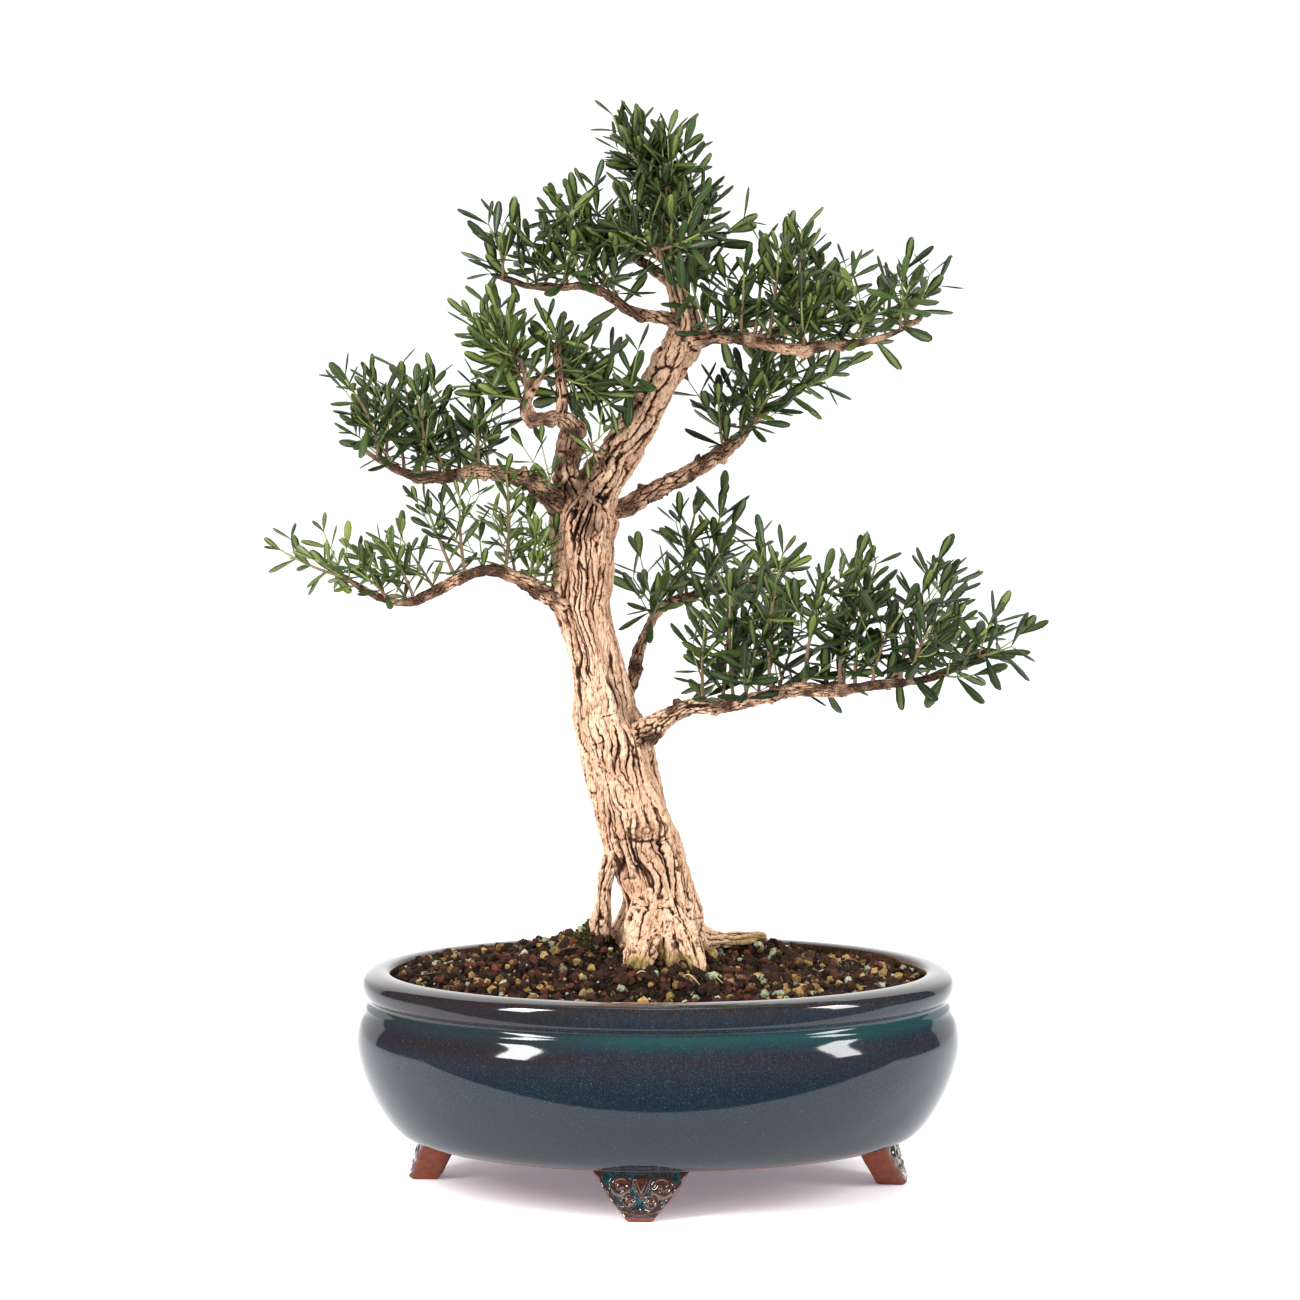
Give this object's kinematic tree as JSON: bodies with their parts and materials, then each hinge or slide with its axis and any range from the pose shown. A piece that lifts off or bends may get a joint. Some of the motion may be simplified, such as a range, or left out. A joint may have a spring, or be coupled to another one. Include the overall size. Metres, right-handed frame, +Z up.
{
  "type": "potted bonsai tree",
  "caption": "Boxwood bonsai with a leaning, deeply fissured trunk and layered leafy pads, in a glazed oval bonsai pot on short feet.",
  "frame": {"origin": "on the ground, under the middle of the whole plant's bounding box", "axes": "+Z up, X along the long axis of the pot, the front of the pot and of the tree towards -Y"},
  "size_m": [0.453, 0.28, 0.6342],
  "materials": {
    "glaze": "gloss",
    "earth": "matte",
    "mesh_plastic": "matte",
    "bark": "matte",
    "foliage": "satin"
  },
  "bodies": {
    "root": {"drain_screen_left": "mesh_plastic", "drain_screen_right": "mesh_plastic", "pot": "glaze", "shoot_crown_back_1": "foliage", "shoot_crown_back_2": "foliage", "shoot_crown_front_1": "foliage", "shoot_crown_front_2": "foliage", "shoot_crown_left_1": "foliage", "shoot_crown_left_2": "foliage", "shoot_crown_left_3": "foliage", "shoot_crown_right_1": "foliage", "shoot_leader_1": "foliage", "shoot_leader_2": "foliage", "shoot_leader_3": "foliage", "shoot_leader_spur_1": "foliage", "shoot_left_leader_1": "foliage", "shoot_left_leader_2": "foliage", "shoot_left_leader_fork_1": "foliage", "shoot_left_leader_stub_1": "foliage", "shoot_left_leader_stub_2": "foliage", "shoot_left_lower_1": "foliage", "shoot_left_lower_2": "foliage", "shoot_left_lower_3": "foliage", "shoot_left_lower_4": "foliage", "shoot_left_lower_5": "foliage", "shoot_left_upper_1": "foliage", "shoot_left_upper_2": "foliage", "shoot_left_upper_3": "foliage", "shoot_left_upper_4": "foliage", "shoot_left_upper_5": "foliage", "shoot_left_upper_6": "foliage", "shoot_right_back_1": "foliage", "shoot_right_back_2": "foliage", "shoot_right_back_3": "foliage", "shoot_right_back_4": "foliage", "shoot_right_lower_1": "foliage", "shoot_right_lower_2": "foliage", "shoot_right_lower_3": "foliage", "shoot_right_lower_4": "foliage", "shoot_right_lower_5": "foliage", "shoot_right_lower_6": "foliage", "shoot_right_lower_7": "foliage", "shoot_right_lower_8": "foliage", "shoot_right_lower_fork_1": "foliage", "shoot_right_middle_1": "foliage", "shoot_right_middle_2": "foliage", "shoot_right_middle_3": "foliage", "shoot_upper_left_1": "foliage", "shoot_upper_left_2": "foliage", "shoot_upper_left_3": "foliage", "shoot_upper_right_1": "foliage", "shoot_upper_right_2": "foliage", "shoot_upper_right_3": "foliage", "shoot_upper_right_4": "foliage", "shoot_upper_right_5": "foliage", "shoot_upper_right_6": "foliage", "shoot_upper_right_back_1": "foliage", "shoot_upper_right_back_2": "foliage", "soil": "earth", "trunk_and_branches": "bark"}
  },
  "joints": []
}
